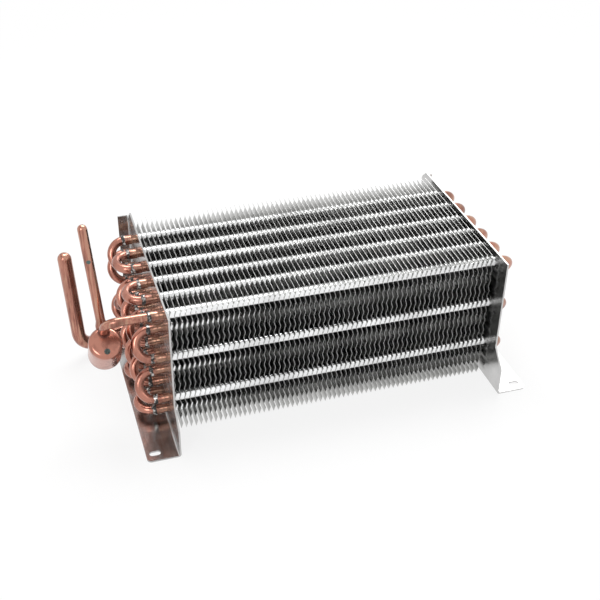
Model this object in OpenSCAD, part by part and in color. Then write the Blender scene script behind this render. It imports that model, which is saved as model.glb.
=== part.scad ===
// Evaporator coil: a pack of wavy aluminium fins on 36 copper tubes, held between two folded
// end plates. Hairpin tubes run through the pack and return bends brazed on the left join them
// into one circuit, from an inlet stub low at the back to a small header at the front.
// X runs along the tubes, Y from front to back, Z up. The origin lies on the plane that the feet
// stand on, in the middle of the four mounting slots.

/* [Pack] */
// Clear length between the two end plates
pack_length = 300; // [200:10:500]
// Distance between two tubes of a row, front to back
tube_pitch = 25.4; // [24:0.1:32]
// Height from one row of tubes to the next
row_pitch = 22; // [20:0.5:28]
// Height of the lowest edge of the fins above the feet
fin_clearance = 1; // [0.5:0.5:5]

/* [Tubes] */
// Outer diameter of the copper tube
tube_d = 7.94; // [6:0.01:9.6]
// Wall of the copper tube
tube_wall = 0.5; // [0.3:0.05:0.9]
// Length of tube that stands out of the left plate
tube_out = 11; // [9:0.5:20]
// Length of tube between the right plate and the start of its bend
hairpin_out = 5; // [2:0.5:12]
// Depth of the widened end that takes the return bend
bell_depth = 7; // [4:0.5:8]
// Room between the end of a return bend and the bottom of the widened end
joint_room = 1; // [0.5:0.1:2]
// Radial gap between a return bend and the widened end
joint_gap = 0.08; // [0.05:0.01:0.2]
// Length of the braze fillet at each joint
braze_length = 2; // [1:0.1:2.2]

/* [Fins] */
// Distance from one fin to the next
fin_pitch = 4.5; // [3.5:0.1:8]
// Thickness of the fin sheet
fin_t = 0.25; // [0.2:0.05:0.5]
// Smallest gap between a plate and the first fin
fin_end_gap = 3.5; // [2:0.5:8]
// Width of one fin across its waves
wave_depth = 1.7; // [0.5:0.1:2.4]
// Gap around a tube in a fin
fin_hole_gap = 0.1; // [0.05:0.05:0.2]

/* [End plates] */
// Thickness of the sheet
plate_t = 1.5; // [1:0.1:3]
// Inner radius of the folds
fold_r = 1.5; // [1:0.1:3]
// Depth of plate in front of the fins and behind them
plate_margin = 20; // [14:1:40]
// Height of the plate above the fins
plate_over_fins = 1; // [0:0.5:10]
// Gap around a tube in the plate
plate_hole_gap = 0.15; // [0.05:0.05:0.4]
// Distance that the foot reaches forward of the front edge
shoulder_out = 15; // [10:1:30]
// Height at which the shoulder starts
shoulder_low = 28; // [15:1:35]
// Height of the slanted part of the shoulder
shoulder_rise = 16; // [8:1:25]
// Width of the foot
foot_w = 28; // [24:1:50]
// Radius of the outer corners of the foot
foot_corner_r = 4; // [1:0.5:6]
// Width of the stiffening flange at the back
flange_w = 10; // [7:0.5:12]
// Distance from the top of the plate to the top of the flange
flange_drop = 8; // [4:1:20]
// Depth of the V-shaped relief cut between the flange and the plate
relief_length = 6; // [3:0.5:10]

/* [Mounting slots] */
// Distance from the outer edge of the foot to the middle of a slot
slot_from_edge = 8; // [7:0.5:12]
// Distance from the end of the foot to the middle of a slot
slot_from_end = 9; // [7:0.5:20]
// Length of a slot
slot_length = 10; // [8:0.5:12]
// Width of a slot
slot_w = 5.6; // [4:0.1:7]

/* [Header] */
// Outer diameter of the header
header_d = 28.6; // [24:0.1:36]
// Length of the header
header_length = 38; // [30:1:60]
// Wall of the header
header_wall = 1; // [0.8:0.1:2]
// Radius of the spun ends
header_edge_r = 4; // [2.5:0.5:6]
// Lean of the header from upright, towards the back
header_tilt = 37; // [20:1:50]
// Distance from the left plate to the bend of the feed pipe
feed_reach = 36; // [32:1:60]
// Bend radius of the feed pipe
feed_bend_r = 12; // [10:0.5:20]
// Straight length of feed pipe between its bend and the header
feed_drop = 10; // [4:0.5:20]
// Distance from the axis of the header to the feed pipe
feed_offset = 8.5; // [5:0.1:9]
// Depth that a pipe reaches into the header
pipe_insert = 4; // [2:0.5:8]
// Diameter of the plug in the end of the header
plug_d = 5; // [3:0.5:6]

/* [Pipe stubs] */
// Height of the top of the outlet stub above the feet
outlet_top = 205; // [170:1:260]
// Lean of the outlet stub away from the coil
outlet_lean = 4; // [0:0.5:8]
// Distance along the header from its front end to the outlet stub
outlet_station = 10; // [7:0.5:14]
// Length of the braze fillet where the outlet stub leaves the header
neck_length = 5.5; // [3:0.5:8]
// Distance that the foot of this fillet stands out from the stub
neck_flare = 1.2; // [0.5:0.1:2]
// Outer diameter of the inlet stub
inlet_d = 12.7; // [9.5:0.1:14]
// Wall of the inlet stub
inlet_wall = 0.8; // [0.5:0.1:1.5]
// Height of the top of the inlet stub above the feet
inlet_top = 121; // [80:1:200]
// Lean of the inlet stub away from the coil
inlet_lean = 3; // [0:0.5:8]
// Angle that the inlet pipe turns forward on its way out of the coil
inlet_turn = 22; // [5:1:40]
// Centre line radius of the bends of the inlet pipe
inlet_bend_r = 19; // [15:0.5:30]
// Straight length between the two bends of the inlet pipe
inlet_run = 22; // [5:1:60]
// Length of the cone where the inlet pipe widens
inlet_swage = 4; // [2:0.5:10]

/* [Hidden] */
$fn = 48;
ROWS = 6;
COLS = 6;
FIN_GROUPS = 6;
WAVES_PER_ROW = 2;

// Tubes are written [row, column], rows from the top and columns from the front.
// A hairpin joins two tubes past the right plate.
HAIRPINS = concat(
    [for (c = [0:5]) [[0, c], [1, c]]],
    [for (c = [0:2]) [[2, c], [3, c]]],
    [for (c = [0:3]) [[4, c], [5, c]]],
    [[[2, 5], [3, 5]], [[2, 3], [2, 4]], [[3, 3], [3, 4]], [[4, 4], [4, 5]], [[5, 4], [5, 5]]]
);
// A return bend joins two hairpins past the left plate.
RETURN_BENDS = concat(
    [for (c = [0, 1, 2, 3, 5]) [[1, c], [2, c]]],
    [for (c = [0, 1, 2, 3, 5]) [[3, c], [4, c]]],
    [for (c = [1, 3]) [[0, c], [0, c + 1]]],
    [for (c = [0, 2]) [[5, c], [5, c + 1]]],
    [[[2, 4], [3, 4]], [[4, 4], [5, 4]], [[0, 5], [1, 4]]]
);
FEED_TUBE = [0, 0];
INLET_TUBE = [5, 5];
LAP = 0.5;
SKIN = 0.04;
// Part of a tube pitch between the front of the fins and the first tube of an even row
FIRST_TUBE = 0.25;

fin_depth = COLS * tube_pitch;
fin_h = ROWS * row_pitch;
fin_top = fin_clearance + fin_h;
plate_in = pack_length / 2;
plate_out = plate_in + plate_t;
plate_top = fin_top + plate_over_fins;
flange_top = plate_top - flange_drop;
pack_front = (shoulder_out - fin_depth) / 2;
plate_front = pack_front - plate_margin;
plate_back = pack_front + fin_depth + plate_margin;
foot_front = plate_front - shoulder_out;
fold_out = fold_r + plate_t;
tube_r = tube_d / 2;
bell_r = tube_r + joint_gap + tube_wall;
leg_end = plate_out + tube_out;
joint_insert = bell_depth - joint_room;

fin_count = floor((pack_length - 2 * fin_end_gap) / fin_pitch) + 1;
fin_first = -(fin_count - 1) * fin_pitch / 2;

// Place of a tube across the pack: [y, z]
function tube_at(t) = [
    pack_front + (t[1] + FIRST_TUBE + (t[0] % 2) / 2) * tube_pitch,
    fin_clearance + (ROWS - t[0] - 0.5) * row_pitch
];

// A straight tube along X from x0 to x1
module tube_run(x0, x1) {
    translate([x0, 0, 0]) rotate([90, 0, 90]) rotate_extrude()
        translate([tube_r - tube_wall, 0]) square([tube_wall, x1 - x0]);
}

// A bend is thicker than its straight runs by SKIN on both sides of the wall, and a run reaches
// LAP into it, so that the two are one piece.
module bend_section(r, wall) {
    difference() {
        circle(r + SKIN);
        circle(r - wall - SKIN);
    }
}

// Half a ring of tube that joins points a and b of the YZ plane and bulges towards side
module tube_u(a, b, side) {
    span = b - a;
    mid = (a + b) / 2;
    translate([0, mid[0], mid[1]])
        rotate([atan2(span[1], span[0]), 0, 0]) rotate([0, 0, -90 * side])
        rotate_extrude(angle = 180) translate([norm(span) / 2, 0])
        bend_section(tube_r, tube_wall);
}

// A bent pipe is drawn in its own frame, along +Z. A bend turns towards +X.
module pipe_bend(angle, bend_r, r, wall) {
    translate([bend_r, 0, 0]) mirror([1, 0, 0]) rotate([90, 0, 0])
        rotate_extrude(angle = angle) translate([bend_r, 0]) bend_section(r, wall);
}

module past_bend(angle, bend_r) {
    translate([bend_r * (1 - cos(angle)), 0, bend_r * sin(angle)]) rotate([0, angle, 0])
        children();
}

module pipe_run(length, r, wall) {
    translate([0, 0, -LAP]) rotate_extrude()
        translate([r - wall, 0]) square([wall, length + 2 * LAP]);
}

// The last run of a pipe, closed by a dome
module closed_run(length, r, wall) {
    inside = r - wall;
    shoulder = length - r;
    rotate_extrude() difference() {
        union() {
            translate([0, -LAP]) square([r, shoulder + LAP]);
            intersection() {
                translate([0, shoulder]) circle(r);
                translate([0, shoulder]) square(r);
            }
        }
        translate([0, -2 * LAP]) square([inside, shoulder + 2 * LAP]);
        translate([0, shoulder]) circle(inside);
    }
}

// Puts children at the joint of a tube, facing out of the coil, with +X turned by spin
module at_joint(t, spin) {
    p = tube_at(t);
    translate([joint_insert - leg_end, p[0], p[1]]) rotate([90, 0, -90]) rotate([0, 0, spin])
        children();
}

module hole_pattern(x0, x1, r) {
    for (row = [0:ROWS - 1], col = [0:COLS - 1]) {
        p = tube_at([row, col]);
        translate([x0, p[0], p[1]]) rotate([0, 90, 0]) cylinder(h = x1 - x0, r = r);
    }
}

// One leg of a hairpin with the widened end that takes a return bend
module leg() {
    bell_in = tube_r + joint_gap;
    tube_in = tube_r - tube_wall;
    taper_end = bell_depth + 2 * (bell_r - tube_r);
    length = leg_end + plate_out + hairpin_out + LAP;
    translate([-leg_end, 0, 0]) rotate([90, 0, 90]) rotate_extrude() polygon([
        [bell_in, 0],
        [bell_r, 0],
        [bell_r, bell_depth],
        [tube_r, taper_end],
        [tube_r, length],
        [tube_in, length],
        [tube_in, taper_end],
        [bell_in, bell_depth]
    ]);
}

module hairpin(pair) {
    color("peru") {
        for (t = pair) {
            p = tube_at(t);
            translate([0, p[0], p[1]]) leg();
        }
        translate([plate_out + hairpin_out, 0, 0]) tube_u(tube_at(pair[0]), tube_at(pair[1]), 1);
    }
}

module return_bend(pair) {
    color("sandybrown") {
        for (t = pair) {
            p = tube_at(t);
            translate([0, p[0], p[1]])
                tube_run(-leg_end - LAP, joint_insert - leg_end);
        }
        translate([-leg_end, 0, 0]) tube_u(tube_at(pair[0]), tube_at(pair[1]), -1);
    }
}

// Fillet of braze metal on the mouth of a widened end. It clears the bend that starts there.
module braze_ring() {
    inside = tube_r + 2 * SKIN + pow(braze_length, 2) / tube_pitch;
    rotate([0, -90, 0]) rotate_extrude() polygon([
        [inside, 0],
        [bell_r, 0],
        [bell_r, braze_length / 4],
        [inside + tube_wall / 4, braze_length],
        [inside, braze_length]
    ]);
}

module braze_rings() {
    color("dimgray") for (row = [0:ROWS - 1], col = [0:COLS - 1]) {
        p = tube_at([row, col]);
        translate([-leg_end, p[0], p[1]]) braze_ring();
    }
}

// Cross-section of a fin: a sheet that zigzags along its height
module wave_section() {
    steps = 2 * WAVES_PER_ROW * ROWS;
    step = fin_h / steps;
    middle = [for (k = [0:steps]) [(k % 2 == 0 ? -1 : 1) * wave_depth / 2, k * step]];
    polygon(concat(
        [for (p = middle) p - [fin_t / 2, 0]],
        [for (k = [steps:-1:0]) middle[k] + [fin_t / 2, 0]]
    ));
}

module fin_sheet() {
    translate([0, pack_front + fin_depth, fin_clearance]) rotate([90, 0, 0])
        linear_extrude(fin_depth) wave_section();
}

module fins(group) {
    first = floor((group - 1) * fin_count / FIN_GROUPS);
    last = floor(group * fin_count / FIN_GROUPS) - 1;
    color("silver") for (i = [first:last]) translate([fin_first + i * fin_pitch, 0, 0])
        difference() {
            fin_sheet();
            hole_pattern(-wave_depth, wave_depth, tube_r + fin_hole_gap);
        }
}

// Quarter ring of sheet for a fold, with its centre at the origin
module fold_section() {
    intersection() {
        difference() {
            circle(fold_out);
            circle(fold_r);
        }
        translate([-fold_out, -fold_out]) square(fold_out);
    }
}

module slot() {
    travel = slot_length - slot_w;
    for (side = [-1, 1]) translate([side * travel / 2, 0, -plate_t])
        cylinder(h = 3 * plate_t, d = slot_w);
    translate([-travel / 2, -slot_w / 2, -plate_t]) cube([travel, slot_w, 3 * plate_t]);
}

module plate_web() {
    translate([plate_in, 0, 0]) rotate([90, 0, 90]) linear_extrude(plate_t) polygon([
        [foot_front, fold_out],
        [foot_front, shoulder_low],
        [plate_front, shoulder_low + shoulder_rise],
        [plate_front, plate_top],
        [plate_back - fold_out - flange_drop, plate_top],
        [plate_back - fold_out, flange_top],
        [plate_back - fold_out, fold_out]
    ]);
}

module plate_foot() {
    length = plate_back - foot_front;
    translate([plate_in, plate_back, 0]) rotate([90, 0, 0]) linear_extrude(length) {
        translate([fold_out, fold_out]) fold_section();
        translate([fold_out, 0]) square([plate_t + foot_w - fold_out, plate_t]);
    }
}

module plate_flange() {
    low = fold_out + plate_t;
    translate([plate_in, plate_back, low]) linear_extrude(flange_top - low) {
        translate([fold_out, -fold_out]) mirror([0, 1]) fold_section();
        translate([fold_out, -plate_t]) square([plate_t + flange_w - fold_out, plate_t]);
    }
}

// V cut through the fold at the top of the flange
module relief_cut() {
    translate([plate_in + fold_out, plate_back - fold_out, flange_top])
        rotate([90, 0, 225]) linear_extrude(2 * fold_out) polygon([
            [-fold_out / 2, LAP],
            [fold_out / 2, LAP],
            [0, -relief_length]
        ]);
}

// Rounds an outer corner of the foot, at the front (side -1) or at the back (side 1)
module foot_corner(side) {
    end = side < 0 ? foot_front : plate_back;
    translate([plate_out + foot_w - foot_corner_r, end - side * foot_corner_r, -plate_t])
        linear_extrude(3 * plate_t) difference() {
            translate([0, side < 0 ? -2 * foot_corner_r : 0]) square(2 * foot_corner_r);
            circle(foot_corner_r);
        }
}

module end_plate() {
    difference() {
        union() {
            plate_web();
            plate_foot();
            plate_flange();
        }
        hole_pattern(plate_in - plate_t, plate_out + plate_t, tube_r + plate_hole_gap);
        for (y = [foot_front + slot_from_end, plate_back - slot_from_end])
            translate([plate_out + foot_w - slot_from_edge, y, 0]) slot();
        for (side = [-1, 1]) foot_corner(side);
        relief_cut();
    }
}

module right_end_plate() {
    color("gainsboro") end_plate();
}

module left_end_plate() {
    color("gainsboro") mirror([1, 0, 0]) end_plate();
}

// The header is drawn along +Z from its front end and laid down along its own axis,
// which leans back and down from the feed pipe.
feed_at = tube_at(FEED_TUBE);
feed_x = -plate_out - feed_reach - feed_bend_r;
header_dir = [0, sin(header_tilt), -cos(header_tilt)];
header_up = [0, cos(header_tilt), sin(header_tilt)];
feed_bend_end = [feed_x, feed_at[0], feed_at[1]] + feed_bend_r * header_dir;
header_front = feed_bend_end + feed_drop * header_dir - feed_offset * header_up;

module along_header() {
    translate(header_front) rotate([header_tilt + 180, 0, 0]) children();
}

// Where the outlet stub leaves the header, and the frame that it stands in
outlet_root = header_front + outlet_station * header_dir + (header_d / 2 - pipe_insert) * header_up;

module along_outlet() {
    translate(outlet_root) rotate([0, -outlet_lean, 0]) children();
}

module header_shell() {
    r = header_d / 2;
    e = header_edge_r;
    color("chocolate") difference() {
        along_header() rotate_extrude() difference() {
            union() {
                translate([0, e]) square([r, header_length - 2 * e]);
                square([r - e, header_length]);
                for (z = [e, header_length - e]) translate([r - e, z]) circle(e);
            }
            translate([0, header_wall]) square([r - e, header_length - 2 * header_wall]);
            translate([0, e]) square([r - header_wall, header_length - 2 * e]);
            for (z = [e, header_length - e]) translate([r - e, z]) circle(e - header_wall);
        }
        along_header() translate([0, -feed_offset, -header_wall])
            cylinder(h = 3 * header_wall, r = tube_r + joint_gap);
        along_header() translate([0, feed_offset, -header_wall])
            cylinder(h = 3 * header_wall, d = plug_d);
        along_outlet() translate([0, 0, -tube_d])
            cylinder(h = header_d, r = tube_r + joint_gap);
    }
}

module header_plug() {
    color("darkslategray") along_header() translate([0, feed_offset, 0]) rotate_extrude()
        polygon([
            [0, -header_wall / 2],
            [plug_d / 2, -header_wall / 2],
            [plug_d / 2, header_wall],
            [0, header_wall]
        ]);
}

module feed_pipe() {
    straight = feed_reach - tube_out + joint_insert;
    color("peru") at_joint(FEED_TUBE, -90 - header_tilt) {
        pipe_run(straight, tube_r, tube_wall);
        translate([0, 0, straight]) {
            pipe_bend(90, feed_bend_r, tube_r, tube_wall);
            past_bend(90, feed_bend_r) pipe_run(feed_drop + pipe_insert, tube_r, tube_wall);
        }
    }
}

// Height along the outlet stub at which it is clear of the header all round
neck_low = (outlet_station - tube_r * sin(header_tilt)) / (cos(header_tilt) * cos(outlet_lean));

module outlet_stub() {
    rise = (outlet_top - outlet_root[2]) / cos(outlet_lean);
    color("sienna") along_outlet() {
        closed_run(rise, tube_r, tube_wall);
        translate([0, 0, neck_low]) rotate_extrude() polygon([
            [tube_r - tube_wall / 2, 0],
            [tube_r + neck_flare, 0],
            [tube_r, neck_length],
            [tube_r - tube_wall / 2, neck_length]
        ]);
    }
}

// The inlet pipe widens as it leaves the last tube, turns forward and rises to a closed end
module inlet_pipe() {
    r = inlet_d / 2;
    narrow = joint_insert + braze_length;
    wide = narrow + inlet_swage;
    turn_up = 90 - inlet_lean;
    corner_rise = inlet_bend_r * (1 - cos(turn_up));
    base = tube_at(INLET_TUBE)[1] + corner_rise;
    color("sienna") at_joint(INLET_TUBE, 0) {
        rotate_extrude() polygon([
            [tube_r - tube_wall, 0],
            [tube_r, 0],
            [tube_r, narrow],
            [r, wide],
            [r, wide + LAP],
            [r - inlet_wall, wide + LAP],
            [r - inlet_wall, wide],
            [tube_r - tube_wall, narrow]
        ]);
        translate([0, 0, wide]) {
            pipe_bend(inlet_turn, inlet_bend_r, r, inlet_wall);
            past_bend(inlet_turn, inlet_bend_r) {
                pipe_run(inlet_run, r, inlet_wall);
                translate([0, 0, inlet_run]) rotate([0, 0, 90]) {
                    pipe_bend(turn_up, inlet_bend_r, r, inlet_wall);
                    past_bend(turn_up, inlet_bend_r)
                        closed_run((inlet_top - base) / cos(inlet_lean), r, inlet_wall);
                }
            }
        }
    }
}

left_end_plate();
right_end_plate();
fins(1);  // fins_1
fins(2);  // fins_2
fins(3);  // fins_3
fins(4);  // fins_4
fins(5);  // fins_5
fins(6);  // fins_6
hairpin(HAIRPINS[0]);  // hairpin_01
hairpin(HAIRPINS[1]);  // hairpin_02
hairpin(HAIRPINS[2]);  // hairpin_03
hairpin(HAIRPINS[3]);  // hairpin_04
hairpin(HAIRPINS[4]);  // hairpin_05
hairpin(HAIRPINS[5]);  // hairpin_06
hairpin(HAIRPINS[6]);  // hairpin_07
hairpin(HAIRPINS[7]);  // hairpin_08
hairpin(HAIRPINS[8]);  // hairpin_09
hairpin(HAIRPINS[9]);  // hairpin_10
hairpin(HAIRPINS[10]);  // hairpin_11
hairpin(HAIRPINS[11]);  // hairpin_12
hairpin(HAIRPINS[12]);  // hairpin_13
hairpin(HAIRPINS[13]);  // hairpin_14
hairpin(HAIRPINS[14]);  // hairpin_15
hairpin(HAIRPINS[15]);  // hairpin_16
hairpin(HAIRPINS[16]);  // hairpin_17
hairpin(HAIRPINS[17]);  // hairpin_18
return_bend(RETURN_BENDS[0]);  // return_bend_01
return_bend(RETURN_BENDS[1]);  // return_bend_02
return_bend(RETURN_BENDS[2]);  // return_bend_03
return_bend(RETURN_BENDS[3]);  // return_bend_04
return_bend(RETURN_BENDS[4]);  // return_bend_05
return_bend(RETURN_BENDS[5]);  // return_bend_06
return_bend(RETURN_BENDS[6]);  // return_bend_07
return_bend(RETURN_BENDS[7]);  // return_bend_08
return_bend(RETURN_BENDS[8]);  // return_bend_09
return_bend(RETURN_BENDS[9]);  // return_bend_10
return_bend(RETURN_BENDS[10]);  // return_bend_11
return_bend(RETURN_BENDS[11]);  // return_bend_12
return_bend(RETURN_BENDS[12]);  // return_bend_13
return_bend(RETURN_BENDS[13]);  // return_bend_14
return_bend(RETURN_BENDS[14]);  // return_bend_15
return_bend(RETURN_BENDS[15]);  // return_bend_16
return_bend(RETURN_BENDS[16]);  // return_bend_17
braze_rings();
header_shell();
header_plug();
feed_pipe();
outlet_stub();
inlet_pipe();
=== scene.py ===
"""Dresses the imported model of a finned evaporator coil: smooth copper tubes with their widened
ends, brazed return bends, a small header with its pipes, bright fin collars and folded plates."""

import math

import bmesh
import bpy
from mathutils import Matrix, Vector


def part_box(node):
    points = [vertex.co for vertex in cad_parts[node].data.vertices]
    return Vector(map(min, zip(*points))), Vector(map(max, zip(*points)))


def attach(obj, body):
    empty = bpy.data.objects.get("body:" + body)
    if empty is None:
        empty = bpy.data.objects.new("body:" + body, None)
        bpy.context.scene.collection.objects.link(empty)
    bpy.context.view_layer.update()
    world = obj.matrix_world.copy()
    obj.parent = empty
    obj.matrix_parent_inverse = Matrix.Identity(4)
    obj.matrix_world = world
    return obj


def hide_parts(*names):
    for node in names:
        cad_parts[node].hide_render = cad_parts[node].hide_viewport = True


bl_info = {
    "name": "Evaporator coil",
    "version": (1, 0, 0),
    "blender": (4, 5, 0),
    "location": "View3D > Sidebar > Coil",
    "description": "Builds the pieces, finishes and stage of a finned evaporator coil",
    "category": "Add Mesh",
}

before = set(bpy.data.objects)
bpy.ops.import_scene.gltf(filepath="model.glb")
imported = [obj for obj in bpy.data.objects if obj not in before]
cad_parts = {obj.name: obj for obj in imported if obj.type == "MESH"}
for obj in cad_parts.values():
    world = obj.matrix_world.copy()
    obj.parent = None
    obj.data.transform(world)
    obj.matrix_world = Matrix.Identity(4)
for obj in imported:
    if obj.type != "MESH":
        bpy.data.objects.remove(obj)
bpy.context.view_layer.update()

MM = 0.001
ROWS = 6
COLS = 6
FIN_GROUPS = 6
FIN_NODES = ["fins_%d" % n for n in range(1, FIN_GROUPS + 1)]

# Parts of a tube pitch: the fins' front to the first tube of an even row, and an odd row's shift
FIRST_TUBE = 0.25
ROW_SHIFT = 0.5

# Tubes are written (row, column), rows from the top and columns from the front.
HAIRPINS = (
    [((0, c), (1, c)) for c in range(COLS)]
    + [((2, c), (3, c)) for c in range(3)]
    + [((4, c), (5, c)) for c in range(4)]
    + [((2, 5), (3, 5)), ((2, 3), (2, 4)), ((3, 3), (3, 4)), ((4, 4), (4, 5)), ((5, 4), (5, 5))]
)
RETURN_BENDS = (
    [((1, c), (2, c)) for c in (0, 1, 2, 3, 5)]
    + [((3, c), (4, c)) for c in (0, 1, 2, 3, 5)]
    + [((0, c), (0, c + 1)) for c in (1, 3)]
    + [((5, c), (5, c + 1)) for c in (0, 2)]
    + [((2, 4), (3, 4)), ((4, 4), (5, 4)), ((0, 5), (1, 4))]
)
FEED_TUBE = (0, 0)
INLET_TUBE = (5, 5)


def length(name, text, default):
    """A size in metres with its name and description."""
    return bpy.props.FloatProperty(
        name=name, description=text, default=default, unit="LENGTH", precision=5)


def angle(name, text, degrees):
    """An angle with its name and description."""
    return bpy.props.FloatProperty(
        name=name, description=text, default=math.radians(degrees), subtype="ANGLE")


def colour(name, text, default):
    """A colour with its name and description."""
    return bpy.props.FloatVectorProperty(
        name=name, description=text, default=default, subtype="COLOR", size=3, min=0, max=1)


class CoilSizes(bpy.types.PropertyGroup):
    """Sizes of the coil's pieces."""
    tube_pitch: length("Tube pitch", "Distance between two tubes of a row", 25.4 * MM)
    row_pitch: length("Row pitch", "Height from one row to the next", 22 * MM)
    tube_radius: length("Tube radius", "Outer radius of a tube", 3.97 * MM)
    tube_wall: length("Tube wall", "Wall of a tube", 0.5 * MM)
    tube_out: length("Tube out", "Tube beyond the left plate", 11 * MM)
    hairpin_out: length("Hairpin out", "Tube beyond the right plate up to its bend", 5 * MM)
    bell_depth: length("Bell depth", "Depth of a widened tube end", 7 * MM)
    joint_gap: length("Joint gap", "Gap between a bend and a widened end", 0.08 * MM)
    joint_room: length("Joint room", "Depth left free behind a bend's end", 1 * MM)
    braze_length: length("Braze length", "Length of a braze fillet", 2 * MM)
    braze_lump: length("Braze lump", "Unevenness of a braze fillet", 4 * MM)
    fin_pitch: length("Fin pitch", "Distance between fins", 4.5 * MM)
    collar_wall: length("Collar wall", "Thickness of a fin collar", 0.2 * MM)
    collar_flare: length("Collar flare", "Extra radius of a collar's wide end", 0.6 * MM)
    collar_length: length("Collar length", "Length of a fin collar", 4.45 * MM)
    collar_past: length("Collar past", "Wide end of a collar past the middle of its fin", 0.7 * MM)
    neck_length: length("Neck length", "Length of the fillet at the outlet stub", 5.5 * MM)
    neck_flare: length("Neck flare", "Extra radius of that fillet", 1.2 * MM)
    header_radius: length("Header radius", "Outer radius of the header", 14.3 * MM)
    header_length: length("Header length", "Length of the header", 38 * MM)
    header_edge: length("Header edge", "Radius of the spun ends of the header", 4 * MM)
    feed_reach: length("Feed reach", "Left plate to the bend of the feed pipe", 36 * MM)
    feed_bend: length("Feed bend", "Bend radius of the feed pipe", 12 * MM)
    feed_drop: length("Feed drop", "Feed pipe between its bend and the header", 10 * MM)
    feed_offset: length("Feed offset", "Feed pipe off the header's axis", 8.5 * MM)
    pipe_insert: length("Pipe insert", "Depth of a pipe in the header", 4 * MM)
    outlet_top: length("Outlet top", "Height of the outlet stub", 205 * MM)
    outlet_station: length("Outlet station", "Header's end to the outlet stub", 10 * MM)
    mark_drop: length("Mark drop", "Outlet stub's end to its dark mark", 32.7 * MM)
    mark_radius: length("Mark radius", "Radius of the dark mark", 1.6 * MM)
    inlet_radius: length("Inlet radius", "Outer radius of the inlet pipe", 6.35 * MM)
    inlet_top: length("Inlet top", "Height of the inlet pipe", 121 * MM)
    inlet_bend: length("Inlet bend", "Bend radius of the inlet pipe", 19 * MM)
    inlet_run: length("Inlet run", "Straight between the inlet pipe's bends", 22 * MM)
    inlet_swage: length("Inlet swage", "Cone where the inlet pipe widens", 4 * MM)
    header_tilt: angle("Header tilt", "Lean of the header", 37)
    outlet_lean: angle("Outlet lean", "Lean of the outlet stub", 4)
    inlet_lean: angle("Inlet lean", "Lean of the inlet pipe", 3)
    inlet_turn: angle("Inlet turn", "Turn of the inlet pipe towards the front", 22)


class CoilColours(bpy.types.PropertyGroup):
    """Colours of the coil's finishes."""
    copper: colour("Copper", "Clean copper", (0.47, 0.205, 0.15))
    # Also the colour of the painted dark reflections in the pipes' streaks
    stain_and_dark_reflection: colour("Stain", "Copper darkened by heat and handling", (0.11, 0.038, 0.03))
    # Also the colour of the painted light reflections in the pipes' streaks
    tint: colour("Tint", "Golden heat tint beside the joints", (0.58, 0.37, 0.255))
    aluminium: colour("Aluminium", "Faces of the fins", (0.63, 0.63, 0.62))
    # Painted highlight: a brighter colour for the fins' cut edges, where they catch the light
    edge: colour("Edge", "Cut edges of the fins", (0.74, 0.74, 0.73))
    collar: colour("Collar", "Bright collars of the fins", (0.97, 0.975, 0.98))
    plate: colour("Plate", "Right end plate", (0.64, 0.635, 0.63))
    # Painted shade: the left end plate's colour is a darker copy of the plate colour, not a scorch
    plate_in_shade: colour("Scorched", "Left end plate, darkened by brazing", (0.58, 0.575, 0.57))
    braze: colour("Braze", "Braze metal", (0.50, 0.48, 0.46))
    soot: colour("Soot", "Burnt flux on a joint", (0.02, 0.018, 0.016))
    plug: colour("Plug", "Solder of the plug, and the stub's dark mark", (0.10, 0.14, 0.13))


def sizes():
    """The coil's sizes in this scene."""
    return bpy.context.scene.coil_sizes


def colours():
    """The coil's colours in this scene."""
    return bpy.context.scene.coil_colours


# Places taken from the frame

PLATE_T = 1.5 * MM
PLATE_LEFT_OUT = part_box("left_end_plate")[1][0] - PLATE_T
PLATE_RIGHT_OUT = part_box("right_end_plate")[0][0] + PLATE_T
FIRST_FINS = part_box("fins_1")


def tube_at(tube):
    """Y and Z of a tube's axis, from the lower front corner of the fins."""
    s = sizes()
    row, col = tube
    front = FIRST_FINS[0][1]
    low = FIRST_FINS[0][2]
    return (
        front + (col + FIRST_TUBE + (row % 2) * ROW_SHIFT) * s.tube_pitch,
        low + (ROWS - row - 0.5) * s.row_pitch,
    )


def tube_places(x):
    """The axis of every tube at one place along X."""
    return [(x, *tube_at((row, col))) for row in range(ROWS) for col in range(COLS)]


# Places worked out from the sizes

# Side of the outlet stub that bears its dark mark
MARK_SIDE = (-0.1, -1, 0)


def joint_x():
    """Where the widened ends of the tubes finish, past the left plate."""
    return PLATE_LEFT_OUT - sizes().tube_out


def joint_insert():
    """Depth to which a bend or a pipe enters a widened end."""
    s = sizes()
    return s.bell_depth - s.joint_room


def joint_start(tube):
    """Where a pipe starts inside the widened end of its tube."""
    return Vector((joint_x() + joint_insert(), *tube_at(tube)))


def header_axes():
    """The header's axis, which leans back and down, and the direction square to it and up."""
    tilt = sizes().header_tilt
    return (
        Vector((0, math.sin(tilt), -math.cos(tilt))),
        Vector((0, math.cos(tilt), math.sin(tilt))),
    )


def header_front():
    """Middle of the header's front end."""
    s = sizes()
    along, up = header_axes()
    y, z = tube_at(FEED_TUBE)
    corner = Vector((PLATE_LEFT_OUT - s.feed_reach - s.feed_bend, y, z))
    return corner + along * (s.feed_bend + s.feed_drop) - up * s.feed_offset


def outlet_line():
    """Root, direction and length of the outlet stub."""
    s = sizes()
    along, up = header_axes()
    root = header_front() + along * s.outlet_station + up * (s.header_radius - s.pipe_insert)
    lean = s.outlet_lean
    rise = (s.outlet_top - root.z) / math.cos(lean)
    return root, Vector((-math.sin(lean), 0, math.cos(lean))), rise


def outlet_mark():
    """Middle of the dark mark on the outlet stub."""
    s = sizes()
    root, along, rise = outlet_line()
    return root + along * (rise - s.mark_drop) + Vector(MARK_SIDE).normalized() * s.tube_radius


# Mesh tools

SHARP_ANGLE = math.radians(40)
# A station with a smaller radius than this is a point
POINT_RADIUS = 1e-7


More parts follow.
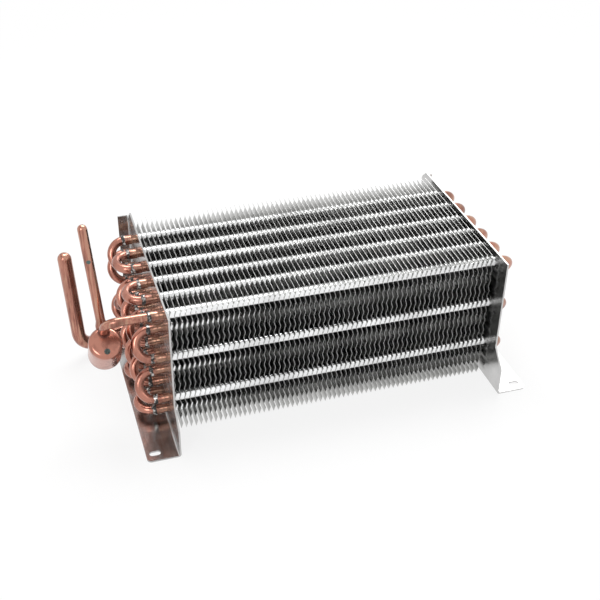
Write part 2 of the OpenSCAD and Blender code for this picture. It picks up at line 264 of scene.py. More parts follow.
class PipePath:
    """A pipe drawn as a row of stations, each with a centre, a direction and a radius."""

    def __init__(self, start, along, radius):
        self.at = Vector(start)
        self.along = Vector(along).normalized()
        self.radius = radius
        self.stations = []
        self.mark()

    def mark(self, radius=None):
        """Adds a station here, of the radius so far or a new one."""
        if radius is not None:
            self.radius = radius
        self.stations.append((self.at.copy(), self.along.copy(), self.radius))

    def straight(self, distance, radius=None, steps=1):
        """Goes straight on, and widens or narrows evenly where a radius is given."""
        start, start_radius = self.at.copy(), self.radius
        end_radius = start_radius if radius is None else radius
        for k in range(1, steps + 1):
            share = k / steps
            self.at = start + self.along * distance * share
            self.mark(start_radius + (end_radius - start_radius) * share)

    def bend(self, toward, turn, bend_radius, steps=20):
        """Turns towards a direction that is square to the pipe."""
        start, forward = self.at.copy(), self.along.copy()
        side = Vector(toward).normalized()
        for k in range(1, steps + 1):
            turned = turn * k / steps
            self.at = start + bend_radius * (
                forward * math.sin(turned) + side * (1 - math.cos(turned)))
            self.along = forward * math.cos(turned) + side * math.sin(turned)
            self.mark()

    def dome(self, steps=8):
        """Closes the end with half a ball of the pipe's own radius."""
        base, full = self.at.copy(), self.radius
        for k in range(1, steps + 1):
            turned = math.pi / 2 * k / steps
            self.at = base + self.along * full * math.sin(turned)
            self.mark(full * math.cos(turned) if k < steps else 0)

    def edge(self, edge_radius, closing=False, steps=8):
        """Rounds the corner from a flat end out to the wall, or back in where it closes."""
        base = self.at.copy()
        core = self.radius - edge_radius if closing else self.radius
        for k in range(1, steps + 1):
            turned = math.pi / 2 * k / steps
            forward, out = 1 - math.cos(turned), math.sin(turned)
            if closing:
                forward, out = math.sin(turned), math.cos(turned)
            self.at = base + self.along * edge_radius * forward
            self.mark(core + edge_radius * out)


def skin(name, stations, segments=28):
    """A closed mesh round a row of stations, with flat or pointed ends."""
    shape = bmesh.new()
    across = stations[0][1].orthogonal().normalized()
    last_along = stations[0][1]
    rings = []
    for centre, along, radius in stations:
        across = last_along.rotation_difference(along) @ across
        across = (across - along * across.dot(along)).normalized()
        last_along = along
        up = along.cross(across)
        if radius < POINT_RADIUS:
            rings.append([shape.verts.new(centre)])
            continue
        rings.append([
            shape.verts.new(centre + radius * (
                across * math.cos(math.tau * k / segments)
                + up * math.sin(math.tau * k / segments)))
            for k in range(segments)
        ])
    if len(rings[0]) > 1:
        rings.insert(0, [shape.verts.new(stations[0][0])])
    if len(rings[-1]) > 1:
        rings.append([shape.verts.new(stations[-1][0])])
    for one, two in zip(rings, rings[1:]):
        for k in range(segments):
            n = (k + 1) % segments
            if len(one) == 1:
                shape.faces.new((one[0], two[k], two[n]))
            elif len(two) == 1:
                shape.faces.new((one[k], one[n], two[0]))
            else:
                shape.faces.new((one[k], one[n], two[n], two[k]))
    return finish_mesh(name, bpy.data.meshes.new(name), shape)


def finish_mesh(name, mesh, shape):
    """Turns a shape's faces outwards and puts it in the scene, smooth up to the sharp angle."""
    bmesh.ops.recalc_face_normals(shape, faces=shape.faces)
    shape.to_mesh(mesh)
    shape.free()
    mesh.shade_smooth()
    mesh.set_sharp_from_angle(angle=SHARP_ANGLE)
    piece = bpy.data.objects.new(name, mesh)
    bpy.context.scene.collection.objects.link(piece)
    return piece


def paint(piece, material):
    """Gives a piece one material in place of those that it has."""
    piece.data.materials.clear()
    piece.data.materials.append(material)


def dress(piece, material, slot, *nodes):
    """Gives a piece its material and body, and hides the nodes that it stands for; slot is not
    used.
    """
    paint(piece, material)
    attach(piece, "root")
    if nodes:
        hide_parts(*nodes)


# Materials

# Reach of the soot and of the golden tint from a joint, and the soft rim of the dark mark
SOOT_CORE = 1.5 * MM
SOOT_REACH = 6 * MM
TINT_REACH = 3 * MM
MARK_FADE = 0.4 * MM
# Part of its brightness that a smudge leaves to aluminium
SMUDGE = 0.78


class Nodes:
    """A node tree, and the calls that fill it."""

    def __init__(self, tree):
        self.tree = tree

    def fill(self, node, sockets):
        """Fills a node's sockets, each with a value or a link from another node's socket."""
        for key, value in sockets.items():
            if hasattr(value, "node"):
                self.tree.links.new(value, node.inputs[key])
            else:
                node.inputs[key].default_value = value

    def node(self, kind, sockets=None, **options):
        """Adds a node, sets its options and fills its sockets."""
        node = self.tree.nodes.new(kind)
        for key, value in options.items():
            setattr(node, key, value)
        self.fill(node, sockets or {})
        return node

    def math(self, operation, one, two):
        """Works out a number from two others."""
        return self.node("ShaderNodeMath", {0: one, 1: two}, operation=operation).outputs[0]


class Shader(Nodes):
    """A node material that reads object coordinates."""

    def __init__(self, name):
        self.material = bpy.data.materials.new(name)
        self.material.use_nodes = True
        super().__init__(self.material.node_tree)
        self.bsdf = self.tree.nodes["Principled BSDF"]
        source = self.node("ShaderNodeTexCoord")
        self.place = source.outputs["Object"]
        self.facing = source.outputs["Normal"]

    def noise(self, scale, detail=3, roughness=0.55, stretch=(1, 1, 1)):
        """Noise on the object, drawn out along an axis where its stretch is small."""
        place = self.node("ShaderNodeMapping", {"Vector": self.place, "Scale": stretch})
        return self.node("ShaderNodeTexNoise", {
            "Vector": place.outputs["Vector"],
            "Scale": scale,
            "Detail": detail,
            "Roughness": roughness,
        }).outputs["Fac"]

    def ranged(self, value, low, high, to_low=0, to_high=1):
        """Spreads what lies between low and high over another range, and stops at its ends."""
        return self.node("ShaderNodeMapRange", {
            "Value": value,
            "From Min": low,
            "From Max": high,
            "To Min": to_low,
            "To Max": to_high,
        }).outputs["Result"]

    def mix(self, share, one, two):
        """Goes from one colour to another. The sockets go by number, as their names repeat."""
        one, two = (side if hasattr(side, "node") else (*side, 1) for side in (one, two))
        return self.node("ShaderNodeMix", {0: share, 6: one, 7: two}, data_type="RGBA").outputs[2]

    def axis(self, letter, vector=None):
        """One axis of a vector, or of the place on the object."""
        return self.node("ShaderNodeSeparateXYZ", {"Vector": vector or self.place}).outputs[letter]

    def size_of(self, value):
        """A number without its sign."""
        return self.math("ABSOLUTE", value, 0)

    def bump(self, height, strength, distance):
        """Makes the surface uneven in its shading."""
        raised = self.node(
            "ShaderNodeBump", {"Height": height, "Strength": strength, "Distance": distance})
        self.set(Normal=raised.outputs["Normal"])

    def set(self, **values):
        """Fills sockets of the surface, whose names have _ here in place of a space."""
        self.fill(self.bsdf, {key.replace("_", " "): value for key, value in values.items()})


def copper(name, stain_from, stain_to, joint_shade=True, streaks=0.0, mark=None):
    """Bare copper: dark patches, heat tint and soot beside the joints, and light and dark streaks
    that are painted reflections.
    """
    c = colours()
    s = sizes()
    m = Shader(name)
    patches = m.noise(62, detail=5, roughness=0.6, stretch=(1, 1, 0.35))
    stain_and_dark_reflection_share = m.ranged(patches, stain_from, stain_to)
    clean_and_light_reflection = c.copper
    if joint_shade:
        past = m.math("SUBTRACT", m.axis("X"), joint_x())
        heat = m.ranged(m.size_of(past), SOOT_CORE, SOOT_REACH, to_low=0.9, to_high=0)
        soot = m.math("MULTIPLY", heat, m.ranged(m.noise(260), 0.38, 0.62))
        stain_and_dark_reflection_share = m.math("MAXIMUM", stain_and_dark_reflection_share, soot)
        warm = m.ranged(past, 0, TINT_REACH)
        golden = m.math("MULTIPLY", warm, m.ranged(m.noise(110), 0.38, 0.64, to_high=0.8))
        clean_and_light_reflection = m.mix(golden, clean_and_light_reflection, c.tint)
    # Painted reflections: light and dark streaks drawn out along Z stand in for the bright floor
    # and dark surroundings mirrored in the pipes
    if streaks:
        reflection_streaks = m.noise(520, detail=4, roughness=0.65, stretch=(1, 1, 0.05))
        clean_and_light_reflection = m.mix(m.ranged(reflection_streaks, 0.48, 0.66, to_high=streaks), clean_and_light_reflection, c.tint)
        stain_and_dark_reflection_share = m.math("MAXIMUM", stain_and_dark_reflection_share, m.ranged(reflection_streaks, 0.5, 0.34, to_high=streaks))
    base = m.mix(stain_and_dark_reflection_share, clean_and_light_reflection, c.stain_and_dark_reflection)
    if mark:
        apart = m.node("ShaderNodeVectorMath", {0: m.place, 1: mark}, operation="DISTANCE")
        spot = m.ranged(
            apart.outputs["Value"], s.mark_radius, s.mark_radius + MARK_FADE, to_low=1, to_high=0)
        base = m.mix(spot, base, c.plug)
    m.set(Base_Color=base, Metallic=1.0, Coat_Weight=0.25, Coat_Roughness=0.15,
          Roughness=m.ranged(stain_and_dark_reflection_share, 0, 1, to_low=0.2, to_high=0.42))
    m.bump(m.noise(120, detail=2), strength=0.12, distance=0.5 * MM)
    return m.material


def aluminium(name, tint, rough_low, rough_high, streaks, edge=None, relief=0.05):
    """Rolled aluminium: fine streaks along the sheet, faint smudges and, where an edge colour is
    given, a painted highlight on the cut edges.
    """
    m = Shader(name)
    rolled = m.noise(220, stretch=streaks)
    dull = tuple(SMUDGE * v for v in tint)
    base = m.mix(m.ranged(m.noise(24), 0.35, 0.65), tint, dull)
    # Painted highlight: faces that turn away from X, the cut edges, take the brighter edge colour
    if edge:
        across = m.size_of(m.axis("X", m.facing))
        base = m.mix(m.ranged(across, 0.3, 0.5), edge, base)
    m.set(Base_Color=base, Metallic=1.0,
          Roughness=m.ranged(rolled, 0.3, 0.7, rough_low, rough_high))
    m.bump(rolled, strength=relief, distance=0.1 * MM)
    return m.material


def braze_metal(name):
    """Braze metal with burnt flux and small bright beads."""
    c = colours()
    m = Shader(name)
    burnt = m.ranged(m.noise(330, detail=4), 0.4, 0.53)
    m.set(Base_Color=m.mix(burnt, c.braze, c.soot),
          Metallic=m.ranged(burnt, 0, 1, to_low=1.0, to_high=0.2),
          Roughness=m.ranged(burnt, 0, 1, to_low=0.16, to_high=0.5))
    m.bump(m.noise(500, detail=2), strength=0.4, distance=0.3 * MM)
    return m.material


def solder(name):
    """Dark solder with a faint green cast."""
    c = colours()
    m = Shader(name)
    cloudy = m.ranged(m.noise(900), 0.35, 0.65)
    m.set(Base_Color=m.mix(cloudy, c.plug, c.soot), Metallic=0.5, Roughness=0.45)
    m.bump(m.noise(1200, detail=2), strength=0.3, distance=0.15 * MM)
    return m.material


# Trees for what repeats

COLLAR_SIDES = 14
COLLAR_GAP = 0.03 * MM
FILLET_SIDES = 24
# A fillet's rim as a multiple of the end's wall and gap, and its shoulder as a part of the rim
FILLET_RIM = 1.35
FILLET_SHOULDER = 0.8
# Scale of the lumps, and the noise at which a fillet's skin stays where it is
LUMP_SCALE = 300.0
LUMP_MIDDLE = 0.47
LUMP_SEED = 5


class Tree(Nodes):
    """A Geometry Nodes tree that works on a mesh of places and takes named inputs."""

    def __init__(self, name, **inputs):
        super().__init__(bpy.data.node_groups.new(name, "GeometryNodeTree"))
        face = self.tree.interface
        face.new_socket("Places", in_out="INPUT", socket_type="NodeSocketGeometry")
        for key, kind in inputs.items():
            face.new_socket(key, in_out="INPUT", socket_type="NodeSocket" + kind)
        face.new_socket("Material", in_out="INPUT", socket_type="NodeSocketMaterial")
        face.new_socket("Geometry", in_out="OUTPUT", socket_type="NodeSocketGeometry")
        self.start = self.node("NodeGroupInput").outputs

    def vector(self, **axes):
        """A vector from those of its axes that are given."""
        return self.node("ShaderNodeCombineXYZ", axes).outputs[0]

    def ring_round_x(self, radius, segments, corners):
        """A ring round X whose section has four corners, each written (outwards, along X)."""
        section = self.node("GeometryNodeCurvePrimitiveQuadrilateral", {
            "Point %d" % k: self.vector(X=out, Y=along)
            for k, (out, along) in enumerate(corners, 1)
        }, mode="POINTS")
        circle = self.node(
            "GeometryNodeCurvePrimitiveCircle", {"Resolution": segments, "Radius": radius})
        sweep = self.node("GeometryNodeCurveToMesh", {
            "Curve": circle.outputs["Curve"], "Profile Curve": section.outputs["Curve"]})
        return self.node("GeometryNodeTransform", {
            "Geometry": sweep.outputs["Mesh"], "Rotation": (0, -math.pi / 2, 0),
        }).outputs["Geometry"]

    def copies(self, places, shape, **options):
        """A copy of a shape on each place."""
        return self.node("GeometryNodeInstanceOnPoints", {
            "Points": places, "Instance": shape, **options}).outputs["Instances"]

    def real(self, instances):
        """Copies turned into one mesh."""
        return self.node(
            "GeometryNodeRealizeInstances", {"Geometry": instances}).outputs["Geometry"]

    def finish(self, geometry):
        """Paints the result and hands it out."""
        painted = self.node("GeometryNodeSetMaterial", {
            "Geometry": geometry, "Material": self.start["Material"]}).outputs["Geometry"]
        self.node("NodeGroupOutput", {"Geometry": painted})
        return self.tree


def collar_tree():
    """Sets a row of conical collars along X on each place."""
    t = Tree("fin_collars", Count="Int", Pitch="Float", First="Float", Length="Float",
             Bore="Float", Wall="Float", Flare="Float")
    s = t.start
    collar = t.ring_round_x(s["Bore"], COLLAR_SIDES, (
        (0.0, 0.0),
        (s["Wall"], 0.0),
        (t.math("ADD", s["Wall"], s["Flare"]), s["Length"]),
        (0.0, s["Length"]),
    ))
    row = t.node("GeometryNodeMeshLine", {
        "Count": s["Count"],
        "Start Location": t.vector(X=s["First"]),
        "Offset": t.vector(X=s["Pitch"]),
    }).outputs["Mesh"]
    one_tube = t.copies(row, collar)
    return t.finish(t.real(t.copies(s["Places"], one_tube)))


def braze_tree():
    """Sets a lumpy fillet on each place, turned at random so that no two look alike."""
    t = Tree("braze_fillets", Tube="Float", Rim="Float", Length="Float", Lump="Float",
             Seed="Int")
    s = t.start
    half = t.math("MULTIPLY", s["Length"], 0.5)
    fillet = t.ring_round_x(s["Tube"], FILLET_SIDES, (
        (0.0, half),
        (0.0, t.math("MULTIPLY", s["Length"], -1.0)),
        (t.math("MULTIPLY", s["Rim"], FILLET_SHOULDER), t.math("MULTIPLY", half, -1.0)),
        (s["Rim"], half),
    ))
    turn = t.node("FunctionNodeRandomValue", {
        "Min": (0.0, 0.0, 0.0), "Max": (math.tau, 0.0, 0.0), "Seed": s["Seed"],
    }, data_type="FLOAT_VECTOR").outputs["Value"]
    rings = t.real(t.copies(s["Places"], fillet, Rotation=turn))
    lumps = t.node("ShaderNodeTexNoise", {"Scale": LUMP_SCALE, "Detail": 2.0}).outputs["Fac"]
    rise = t.math("MULTIPLY", t.math("SUBTRACT", lumps, LUMP_MIDDLE), s["Lump"])
    push = t.node("ShaderNodeVectorMath", {
        0: t.node("GeometryNodeInputNormal").outputs["Normal"],
        "Scale": rise,
    }, operation="SCALE").outputs["Vector"]
    moved = t.node("GeometryNodeSetPosition", {
        "Geometry": rings, "Offset": push}).outputs["Geometry"]
    return t.finish(moved)


def set_input(modifier, tree, name, value):
    """Sets a named input of a tree on its modifier."""
    for item in tree.interface.items_tree:
        if item.item_type == "SOCKET" and item.in_out == "INPUT" and item.name == name:
            modifier[item.identifier] = value
            return
    raise RuntimeError("the tree has no input named " + name)


def grown(name, points, tree, values):
    """Runs a tree on a mesh of points and returns the result as a plain object."""
    seed_mesh = bpy.data.meshes.new(name + "_points")
    seed_mesh.from_pydata(points, [], [])
    seed = bpy.data.objects.new(name + "_points", seed_mesh)
    bpy.context.scene.collection.objects.link(seed)
    modifier = seed.modifiers.new("tree", "NODES")
    modifier.node_group = tree
    for key, value in values.items():
        set_input(modifier, tree, key, value)
    graph = bpy.context.evaluated_depsgraph_get()
    mesh = bpy.data.meshes.new_from_object(seed.evaluated_get(graph), depsgraph=graph)
    seed.modifiers.remove(modifier)
    bpy.data.objects.remove(seed)
    shape = bmesh.new()
    shape.from_mesh(mesh)
    return finish_mesh(name, mesh, shape)


# Pieces

# Bevel on the mouth of a widened end
BELL_RIM = 0.15 * MM
NECK_STEPS = 6
# Power by which the neck of the outlet stub narrows
NECK_CURVE = 1.4
# The feed pipe's fillet in parts of the braze length: how deep it starts, how wide it is there,
# the run and width of its first two stretches, and the run of its last
FEED_FILLET_SUNK = 0.3
FEED_FILLET_WIDE = 0.6
FEED_FILLET_STRETCHES = ((0.5, FEED_FILLET_WIDE), (0.4, 0.2))
FEED_FILLET_END = 0.5
# Part of the pipe's radius at which that fillet ends, just under its skin
UNDER_SKIN = 0.99


def pair_axes(pair):
    """The axes of two tubes, as points at the middle of the coil."""
    return [Vector((0, *tube_at(tube))) for tube in pair]


def hairpin(name, pair):
    """A U of tube with both ends widened into sockets."""
    s = sizes()
    rim = BELL_RIM
    bell_in = s.tube_radius + s.joint_gap
    bell_out = bell_in + s.tube_wall
    a, b = pair_axes(pair)
    flare = 2 * (bell_out - s.tube_radius)
    leg = PLATE_RIGHT_OUT + s.hairpin_out - joint_x() - s.bell_depth - flare
    path = PipePath(a + Vector((joint_x() + s.bell_depth, 0, 0)), (1, 0, 0), bell_in)
    path.straight(-s.bell_depth + rim)
    path.straight(-rim, bell_in + rim)
    path.mark(bell_out - rim)
    path.straight(rim, bell_out)
    path.straight(s.bell_depth - rim)
    path.straight(flare, s.tube_radius, steps=3)
    path.straight(leg, steps=6)
    path.bend(b - a, math.pi, (b - a).length / 2, steps=28)
    path.straight(leg, steps=6)
    path.straight(flare, bell_out, steps=3)
    path.straight(s.bell_depth - rim)
    path.straight(rim, bell_out - rim)
    path.mark(bell_in + rim)
    path.straight(-rim, bell_in)
    path.straight(-s.bell_depth + rim)
    return skin(name, path.stations)


def return_bend(name, pair):
    """A U of tube whose ends sit in two widened tube ends."""
    a, b = pair_axes(pair)
    path = PipePath(joint_start(pair[0]), (-1, 0, 0), sizes().tube_radius)
    path.straight(joint_insert(), steps=2)
    path.bend(b - a, math.pi, (b - a).length / 2, steps=32)
    path.straight(joint_insert(), steps=2)
    return skin(name, path.stations)


def header_can():
    """The header's spun shell, a can with rounded ends."""
    s = sizes()
    path = PipePath(header_front(), header_axes()[0], 0)
    path.mark(s.header_radius - s.header_edge)
    path.edge(s.header_edge)
    path.straight(s.header_length - 2 * s.header_edge, steps=6)
    path.edge(s.header_edge, closing=True)
    return skin("header_shell_spun", path.stations, segments=64)


def feed_pipe():
    """The pipe from the first tube of the top row into the header."""
    s = sizes()
    path = PipePath(joint_start(FEED_TUBE), (-1, 0, 0), s.tube_radius)
    path.straight(s.feed_reach - s.tube_out + joint_insert(), steps=4)
    path.bend(header_axes()[0], math.pi / 2, s.feed_bend)
    path.straight(s.feed_drop + s.pipe_insert)
    return skin("feed_pipe_tube", path.stations)


def outlet_stub():
    """The tall pipe on the header, with a flared neck at its root and a closed top."""
    s = sizes()
    tilt = s.header_tilt
    root, along, rise = outlet_line()
    clear = ((s.outlet_station - s.tube_radius * math.sin(tilt))
             / (math.cos(tilt) * math.cos(s.outlet_lean)))
    path = PipePath(root, along, s.tube_radius + s.neck_flare)
    path.straight(clear, steps=3)
    for k in range(1, NECK_STEPS + 1):
        spread = s.neck_flare * (1 - k / NECK_STEPS) ** NECK_CURVE
        path.straight(s.neck_length / NECK_STEPS, s.tube_radius + spread)
    path.straight(rise - s.tube_radius - clear - s.neck_length, steps=12)
    path.dome()
    return skin("outlet_stub_tube", path.stations)


def inlet_pipe():
    """The thick pipe that widens from the last tube, turns to the front and then upwards."""
    s = sizes()
    path = PipePath(joint_start(INLET_TUBE), (-1, 0, 0), s.tube_radius)
    path.straight(joint_insert() + s.braze_length, steps=2)
    path.straight(s.inlet_swage, s.inlet_radius, steps=4)
    path.bend((0, -1, 0), s.inlet_turn, s.inlet_bend, steps=8)
    path.straight(s.inlet_run, steps=3)
    path.bend((0, 0, 1), math.pi / 2 - s.inlet_lean, s.inlet_bend)
    rise = (s.inlet_top - path.at.z) / math.cos(s.inlet_lean)
    path.straight(rise - s.inlet_radius, steps=10)
    path.dome(steps=12)
    return skin("inlet_pipe_tube", path.stations, segments=36)


def feed_fillet():
    """The braze round the feed pipe where it enters the header."""
    s = sizes()
    along, up = header_axes()
    unit = s.braze_length
    start = header_front() + up * s.feed_offset + along * unit * FEED_FILLET_SUNK
    path = PipePath(start, -along, s.tube_radius + unit * FEED_FILLET_WIDE)
    for run, width in FEED_FILLET_STRETCHES:
        path.straight(unit * run, s.tube_radius + unit * width)
    path.straight(unit * FEED_FILLET_END, s.tube_radius * UNDER_SKIN)
    return skin("feed_braze", path.stations)


def collar_row(name):
    """Number of fins in a group, and where the collar of its first fin starts."""
    s = sizes()
    low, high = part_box(name)
    count = math.floor((high[0] - low[0]) / s.fin_pitch) + 1
    middle = (low[0] + high[0]) / 2
    first = middle - (count - 1) / 2 * s.fin_pitch + s.collar_past - s.collar_length
    return count, first


class COIL_OT_end_plates(bpy.types.Operator):
    """Finish the two folded end plates"""
    bl_idname = "coil.end_plates"
    bl_label = "End plates"

    def execute(self, context):
        c = colours()
        # The left plate gets the darker copy of the plate colour, which is painted shade
        for name, tint in (("left_end_plate", c.plate_in_shade), ("right_end_plate", c.plate)):
            sheet = aluminium(
                name + "_sheet", tuple(tint), rough_low=0.16, rough_high=0.28,
                streaks=(1, 0.06, 1), relief=0.012)
            paint(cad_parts[name], sheet)
        return {"FINISHED"}


class COIL_OT_fins(bpy.types.Operator):
    """Finish the fins and set the collars that space them on the tubes"""
    bl_idname = "coil.fins"
    bl_label = "Fins and collars"

    def execute(self, context):
        s = sizes()
        c = colours()
        sheet = aluminium(
            "fin_sheet", tuple(c.aluminium), rough_low=0.22, rough_high=0.4,
            streaks=(1, 0.15, 1), edge=tuple(c.edge))
        bright = aluminium(
            "collar_sheet", tuple(c.collar), rough_low=0.14, rough_high=0.24,
            streaks=(0.3, 1, 1), relief=0.01)
        tree = collar_tree()

        def collars(name, count, first, long):
            piece = grown(name, tube_places(0), tree, {
                "Count": count,
                "Pitch": s.fin_pitch,
                "First": first,
                "Length": long,
                "Bore": s.tube_radius + COLLAR_GAP,
                "Wall": s.collar_wall,
                "Flare": s.collar_flare,
                "Material": bright,
            })
            dress(piece, bright, "fin")

        for name in FIN_NODES:
            paint(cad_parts[name], sheet)
            count, first = collar_row(name)
            collars(name + "_collars", count, first, s.collar_length)
            if name == FIN_NODES[0]:
                plate_in = PLATE_LEFT_OUT + PLATE_T
                collars("left_collars", 1, plate_in, first - plate_in)
        count, first = collar_row(FIN_NODES[-1])
        last = first + (count - 1) * s.fin_pitch + s.collar_length
        collars("right_collars", 1, last, PLATE_RIGHT_OUT - PLATE_T - last)
        return {"FINISHED"}


class COIL_OT_tubes(bpy.types.Operator):
    """Build the hairpin tubes and the return bends"""
    bl_idname = "coil.tubes"
    bl_label = "Tubes and bends"

    def execute(self, context):
        tube = copper("tube_copper", stain_from=0.48, stain_to=0.78)
        bend = copper("bend_copper", stain_from=0.46, stain_to=0.84)
        for n, pair in enumerate(HAIRPINS, 1):
            name = "hairpin_%02d" % n
            dress(hairpin(name + "_tube", pair), tube, "copper", name)
        for n, pair in enumerate(RETURN_BENDS, 1):
            name = "return_bend_%02d" % n
            dress(return_bend(name + "_tube", pair), bend, "bend_copper", name)
        return {"FINISHED"}


class COIL_OT_braze(bpy.types.Operator):
    """Build the braze fillets on the joints"""
    bl_idname = "coil.braze"
    bl_label = "Braze"

    def execute(self, context):
        s = sizes()
        metal = braze_metal("braze_metal")
        fillets = grown("braze_fillets", tube_places(joint_x()), braze_tree(), {
            "Tube": s.tube_radius,
            "Rim": FILLET_RIM * (s.joint_gap + s.tube_wall),
            "Length": s.braze_length,
            "Lump": s.braze_lump,
            "Seed": LUMP_SEED,
            "Material": metal,
        })
        dress(fillets, metal, "braze", "braze_rings")
        return {"FINISHED"}


class COIL_OT_header(bpy.types.Operator):
    """Build the header and finish its plug"""
    bl_idname = "coil.header"
    bl_label = "Header"

    def execute(self, context):
        shell = header_can()
        metal = copper("header_copper", stain_from=0.5, stain_to=0.78, joint_shade=False)
        dress(shell, metal, "header_copper", "header_shell")
        paint(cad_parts["header_plug"], solder("plug_solder"))
        return {"FINISHED"}


class COIL_OT_pipes(bpy.types.Operator):
    """Build the feed pipe with its braze, the outlet stub and the inlet pipe"""
    bl_idname = "coil.pipes"
    bl_label = "Pipes"

    def execute(self, context):
        # The pipes' copper carries painted reflections: light and dark streaks along the pipes
        metal = copper(
            "pipe_copper", stain_from=0.52, stain_to=0.84, streaks=0.75,
            mark=tuple(outlet_mark()))
        dress(feed_pipe(), metal, "pipe_copper", "feed_pipe")
        dress(outlet_stub(), metal, "pipe_copper", "outlet_stub")
        dress(inlet_pipe(), metal, "pipe_copper", "inlet_pipe")
        braze = copper("feed_braze_metal", stain_from=0.36, stain_to=0.6, joint_shade=False)
        dress(feed_fillet(), braze, "braze")
        return {"FINISHED"}


# Stage

# Places are in metres, and the lens and sensor in millimetres.
CAMERA_PLACE = (-0.2635, -0.7730, 0.6236)
CAMERA_AIM = (-0.0331, -0.0660, 0.1167)
CAMERA_ROLL = math.radians(1.07)
CAMERA_LENS = 63.0
SENSOR_WIDTH = 36.0

# Each lamp has a name, a place, a width and height, and a power in watts.
LAMPS = (
    ("overhead", (0.1, 0.45, 1.3), (1.1, 0.5), 14),
    ("front_left", (-1.0, -1.0, 0.9), (0.6, 0.6), 5),
    ("rear_right", (1.1, 1.75, 1.3), (0.9, 0.9), 7),
)
LAMP_AIM = (0, 0, 0.07)
SKY_STRENGTH = 0.55
WHITE = (1, 1, 1, 1)

FLOOR_HALF = 3.0
FLOOR_COLOUR = (0.9, 0.9, 0.9, 1)
# Share of plain white near the coil, and the distances between which it grows to all
FLOOR_WHITE = 0.82
FLOOR_FADE = (0.35, 1.2)


def aimed(place, aim):
    """The turn that points a lamp or the camera from its place at an aim."""
    return (Vector(aim) - Vector(place)).to_track_quat("-Z", "Y")


def area_light(name, place, size, power):
    """A flat lamp that shines at the coil."""
    lamp = bpy.data.lights.new(name, "AREA")
    lamp.shape = "RECTANGLE"
    lamp.size, lamp.size_y = size
    lamp.energy = power
    holder = bpy.data.objects.new(name, lamp)
    holder.location = place
    holder.rotation_euler = aimed(place, LAMP_AIM).to_euler()
    bpy.context.scene.collection.objects.link(holder)


def emptied(owner):
    """The nodes of a material or world, cleared for new ones."""
    owner.use_nodes = True
    owner.node_tree.nodes.clear()
    return Nodes(owner.node_tree)


def seen_rays(nodes):
    """One for a ray from the camera, off a glossy surface or through glass, else nought."""
    path = nodes.node("ShaderNodeLightPath").outputs
    result = path["Is Camera Ray"]
    for kind in ("Is Glossy Ray", "Is Transmission Ray"):
        result = nodes.math("MAXIMUM", result, path[kind])
    return result


def white_to_camera(nodes, surface):
    """Mixes white into what the camera and reflections see of the floor, and all of it far off."""
    place = nodes.node("ShaderNodeTexCoord").outputs["Object"]
    away = nodes.node("ShaderNodeVectorMath", {0: place}, operation="LENGTH").outputs["Value"]
    near, far = FLOOR_FADE
    amount = nodes.node("ShaderNodeMapRange", {
        "Value": away, "From Min": near, "From Max": far, "To Min": FLOOR_WHITE,
    }).outputs["Result"]
    share = nodes.math("MULTIPLY", seen_rays(nodes), amount)
    white = nodes.node("ShaderNodeEmission", {"Strength": 1}).outputs[0]
    return nodes.node("ShaderNodeMixShader", {0: share, 1: surface, 2: white}).outputs[0]


def make_floor(scene):
    """A wide pale floor that keeps the coil's shadow."""
    half = FLOOR_HALF
    mesh = bpy.data.meshes.new("floor")
    mesh.from_pydata(
        [(-half, -half, 0), (half, -half, 0), (half, half, 0), (-half, half, 0)],
        [], [(0, 1, 2, 3)])
    floor = bpy.data.objects.new("floor", mesh)
    scene.collection.objects.link(floor)
    pale = bpy.data.materials.new("floor_paper")
    nodes = emptied(pale)
    paper = nodes.node("ShaderNodeBsdfDiffuse", {"Color": FLOOR_COLOUR}).outputs[0]
    nodes.node("ShaderNodeOutputMaterial", {"Surface": white_to_camera(nodes, paper)})
    mesh.materials.append(pale)


def make_sky(scene):
    """A dim sky that lights the coil, and is white to the camera and in reflections."""
    scene.world = bpy.data.worlds.new("studio")
    nodes = emptied(scene.world)
    dim, white = (
        nodes.node("ShaderNodeBackground", {"Color": WHITE, "Strength": strength}).outputs[0]
        for strength in (SKY_STRENGTH, 1))
    mixed = nodes.node("ShaderNodeMixShader", {0: seen_rays(nodes), 1: dim, 2: white})
    nodes.node("ShaderNodeOutputWorld", {"Surface": mixed.outputs[0]})


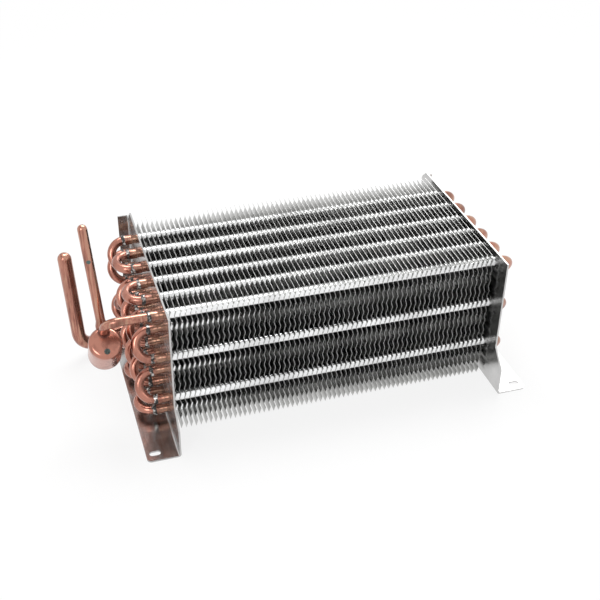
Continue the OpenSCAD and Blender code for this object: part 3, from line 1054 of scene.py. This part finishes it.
def make_camera(scene):
    """The camera at the photograph's viewing angle."""
    lens = bpy.data.cameras.new("camera")
    lens.lens = CAMERA_LENS
    lens.sensor_width = SENSOR_WIDTH
    camera = bpy.data.objects.new("camera", lens)
    camera.matrix_world = (
        Matrix.Translation(CAMERA_PLACE)
        @ aimed(CAMERA_PLACE, CAMERA_AIM).to_matrix().to_4x4()
        @ Matrix.Rotation(CAMERA_ROLL, 4, "Z")
    )
    scene.collection.objects.link(camera)
    scene.camera = camera


class COIL_OT_stage(bpy.types.Operator):
    """Build the floor, the lights and the camera"""
    bl_idname = "coil.stage"
    bl_label = "Stage"

    def execute(self, context):
        scene = context.scene
        scene.view_settings.view_transform = "Standard"
        make_floor(scene)
        make_sky(scene)
        for lamp in LAMPS:
            area_light(*lamp)
        make_camera(scene)
        return {"FINISHED"}


OPERATORS = (
    COIL_OT_end_plates,
    COIL_OT_fins,
    COIL_OT_tubes,
    COIL_OT_braze,
    COIL_OT_header,
    COIL_OT_pipes,
    COIL_OT_stage,
)


class COIL_PT_panel(bpy.types.Panel):
    """Lists the steps that build the coil"""
    bl_idname = "COIL_PT_panel"
    bl_label = "Evaporator coil"
    bl_space_type = "VIEW_3D"
    bl_region_type = "UI"
    bl_category = "Coil"

    def draw(self, context):
        for operator in OPERATORS:
            self.layout.operator(operator.bl_idname)


CLASSES = (CoilSizes, CoilColours) + OPERATORS + (COIL_PT_panel,)


def register():
    """Registers the classes and gives each scene its sizes and colours."""
    for item in CLASSES:
        bpy.utils.register_class(item)
    bpy.types.Scene.coil_sizes = bpy.props.PointerProperty(type=CoilSizes)
    bpy.types.Scene.coil_colours = bpy.props.PointerProperty(type=CoilColours)


def unregister():
    """Takes back what register did."""
    del bpy.types.Scene.coil_colours
    del bpy.types.Scene.coil_sizes
    for item in reversed(CLASSES):
        bpy.utils.unregister_class(item)


def main():
    """Builds everything in order."""
    register()
    for operator in OPERATORS:
        group, step = operator.bl_idname.split(".")
        getattr(getattr(bpy.ops, group), step)()


if __name__ == "__main__":
    main()
